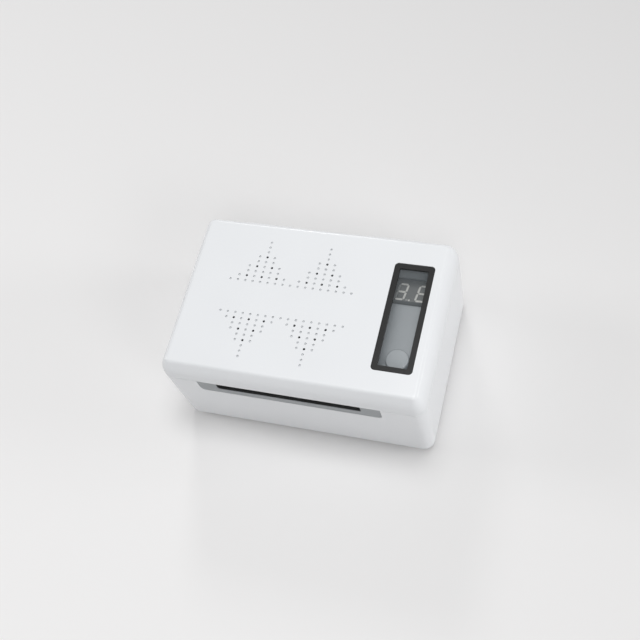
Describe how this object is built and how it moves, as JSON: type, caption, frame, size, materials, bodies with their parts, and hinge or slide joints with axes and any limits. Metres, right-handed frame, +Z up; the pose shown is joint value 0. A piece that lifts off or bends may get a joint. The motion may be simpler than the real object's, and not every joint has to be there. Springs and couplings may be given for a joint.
{
  "type": "hearing aid dryer",
  "caption": "Small white box with a hinged, vented lid, a display window and a warm-air drying chamber for hearing aids.",
  "frame": {"origin": "middle of the footprint on the table, hinge included", "axes": "+X to the right, +Y to the hinge at the back, +Z up; the front faces -Y"},
  "size_m": [0.1008, 0.07, 0.045],
  "materials": {
    "shell_white": "white moulded plastic, satin",
    "deck_grey": "grey moulded plastic",
    "bezel_black": "black plastic frame",
    "lens_clear": "clear plastic, faint blue",
    "button_grey": "pale grey plastic",
    "black_plastic": "black moulded plastic",
    "foot_rubber": "dark grey rubber",
    "screw_steel": "plated steel",
    "magnet_nickel": "nickel plated",
    "board_green": "green circuit board",
    "board_black": "black circuit board",
    "board_white": "white circuit board",
    "display_face": "grey display body",
    "segment_lit": "milky light windows",
    "segment_dark": "milky light windows, unlit",
    "bearing_bronze": "sintered bronze",
    "winding_copper": "copper winding",
    "fin_aluminium": "bare aluminium",
    "element_ceramic": "ceramic heating element in film",
    "lamp_window": "ultraviolet lamp package",
    "reed_glass": "glass capsule",
    "filter_felt": "grey filter felt"
  },
  "bodies": {
    "base": {"base_shell": "shell_white", "rubber_feet": "foot_rubber", "case_screws": "screw_steel", "inner_deck": "deck_grey", "drying_chamber": "deck_grey", "chamber_screws": "screw_steel", "chamber_grille": "deck_grey", "main_board": "board_green", "board_components": "black_plastic", "power_socket": "screw_steel", "main_board_screws": "screw_steel", "control_board": "board_black", "control_board_screws": "screw_steel", "display_module": "display_face", "display_digits": "segment_lit", "display_dark_segments": "segment_dark", "tact_switch": "black_plastic", "fan_frame": "black_plastic", "fan_bearing": "bearing_bronze", "fan_stator": "winding_copper", "fan_screws": "screw_steel", "heater_frame": "black_plastic", "heater_fins": "fin_aluminium", "heater_element": "element_ceramic", "heater_screws": "screw_steel", "uv_board": "board_white", "uv_lamps": "lamp_window", "temperature_sensor": "black_plastic", "reed_switch": "reed_glass", "base_magnets": "magnet_nickel", "hinge_pins": "screw_steel"},
    "lid": {"lid_shell": "shell_white", "window_bezel": "bezel_black", "window_lens": "lens_clear", "dust_filter": "filter_felt", "filter_cover": "deck_grey", "filter_cover_screws": "screw_steel", "lid_magnets": "magnet_nickel"},
    "fan": {"fan_rotor": "black_plastic", "fan_shaft": "screw_steel"},
    "power_button": {"button_cap": "button_grey", "switch_plunger": "black_plastic"}
  },
  "joints": [
    {"name": "lid_hinge", "type": "hinge", "parent": "base", "child": "lid", "pos_m": [0, 0.0331, 0.03648], "axis": [-1, 0, 0], "range_deg": [0, 100]},
    {"name": "fan_spin", "type": "hinge", "parent": "base", "child": "fan", "pos_m": [-0.0081, -0.00105, 0.0078], "axis": [0, 0, 1], "continuous": true},
    {"name": "button_press", "type": "slide", "parent": "base", "child": "power_button", "axis": [0, 0, -1], "range_m": [0, 0.0006], "stiffness_N_per_m": 2500, "springref_m": -0.0002}
  ]
}
